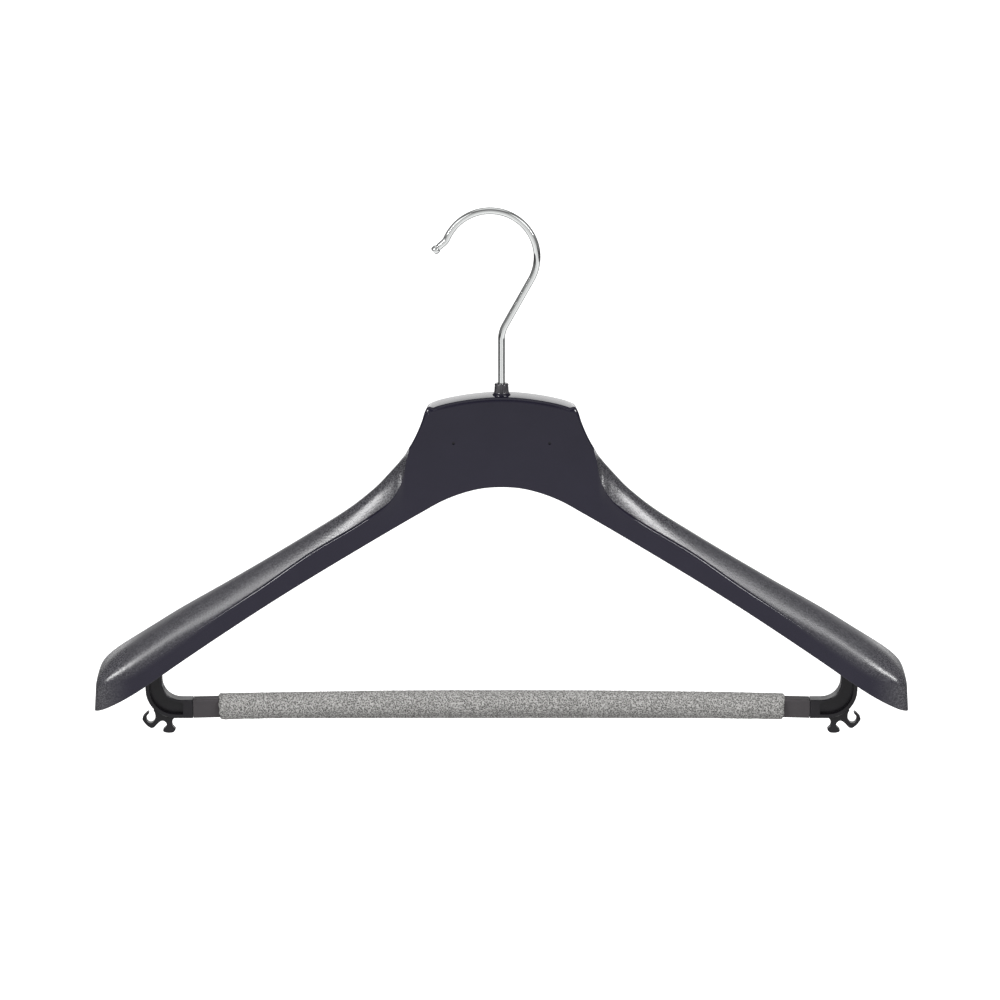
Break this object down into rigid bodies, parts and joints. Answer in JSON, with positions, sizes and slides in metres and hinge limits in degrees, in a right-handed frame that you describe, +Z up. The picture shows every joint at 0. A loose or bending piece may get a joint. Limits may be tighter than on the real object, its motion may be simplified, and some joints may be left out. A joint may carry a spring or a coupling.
{
  "type": "suit hanger",
  "caption": "Wide-shouldered moulded suit hanger with a swivelling wire hook and a foam-covered trouser bar.",
  "frame": {"origin": "where the rail bears inside the hook, on the axis of the hook's stem", "axes": "+X along the shoulders, +Y towards the back, +Z up; the shoulders curve forward towards -Y"},
  "size_m": [0.445, 0.0465, 0.293],
  "materials": {
    "body_plastic": "glossy front and back, fine satin grain on the shoulders",
    "hook_chrome": "bright chrome plated steel wire",
    "washer_steel": "zinc plated",
    "bar_end_plastic": "satin moulded plastic",
    "bar_plastic": "satin plastic tube",
    "foam": "open-cell foam, matte, speckled light and dark grey"
  },
  "bodies": {
    "hook": {"hook": "hook_chrome", "hook_washer": "washer_steel"},
    "hanger": {"hanger_body": "body_plastic", "bar_end_left": "bar_end_plastic", "bar_end_right": "bar_end_plastic", "bar_tube": "bar_plastic", "foam_sleeve": "foam"}
  },
  "joints": [
    {"name": "hook_swivel", "type": "hinge", "parent": "hook", "child": "hanger", "pos_m": [0, 0, 0], "axis": [0, 0, 1], "continuous": true}
  ]
}
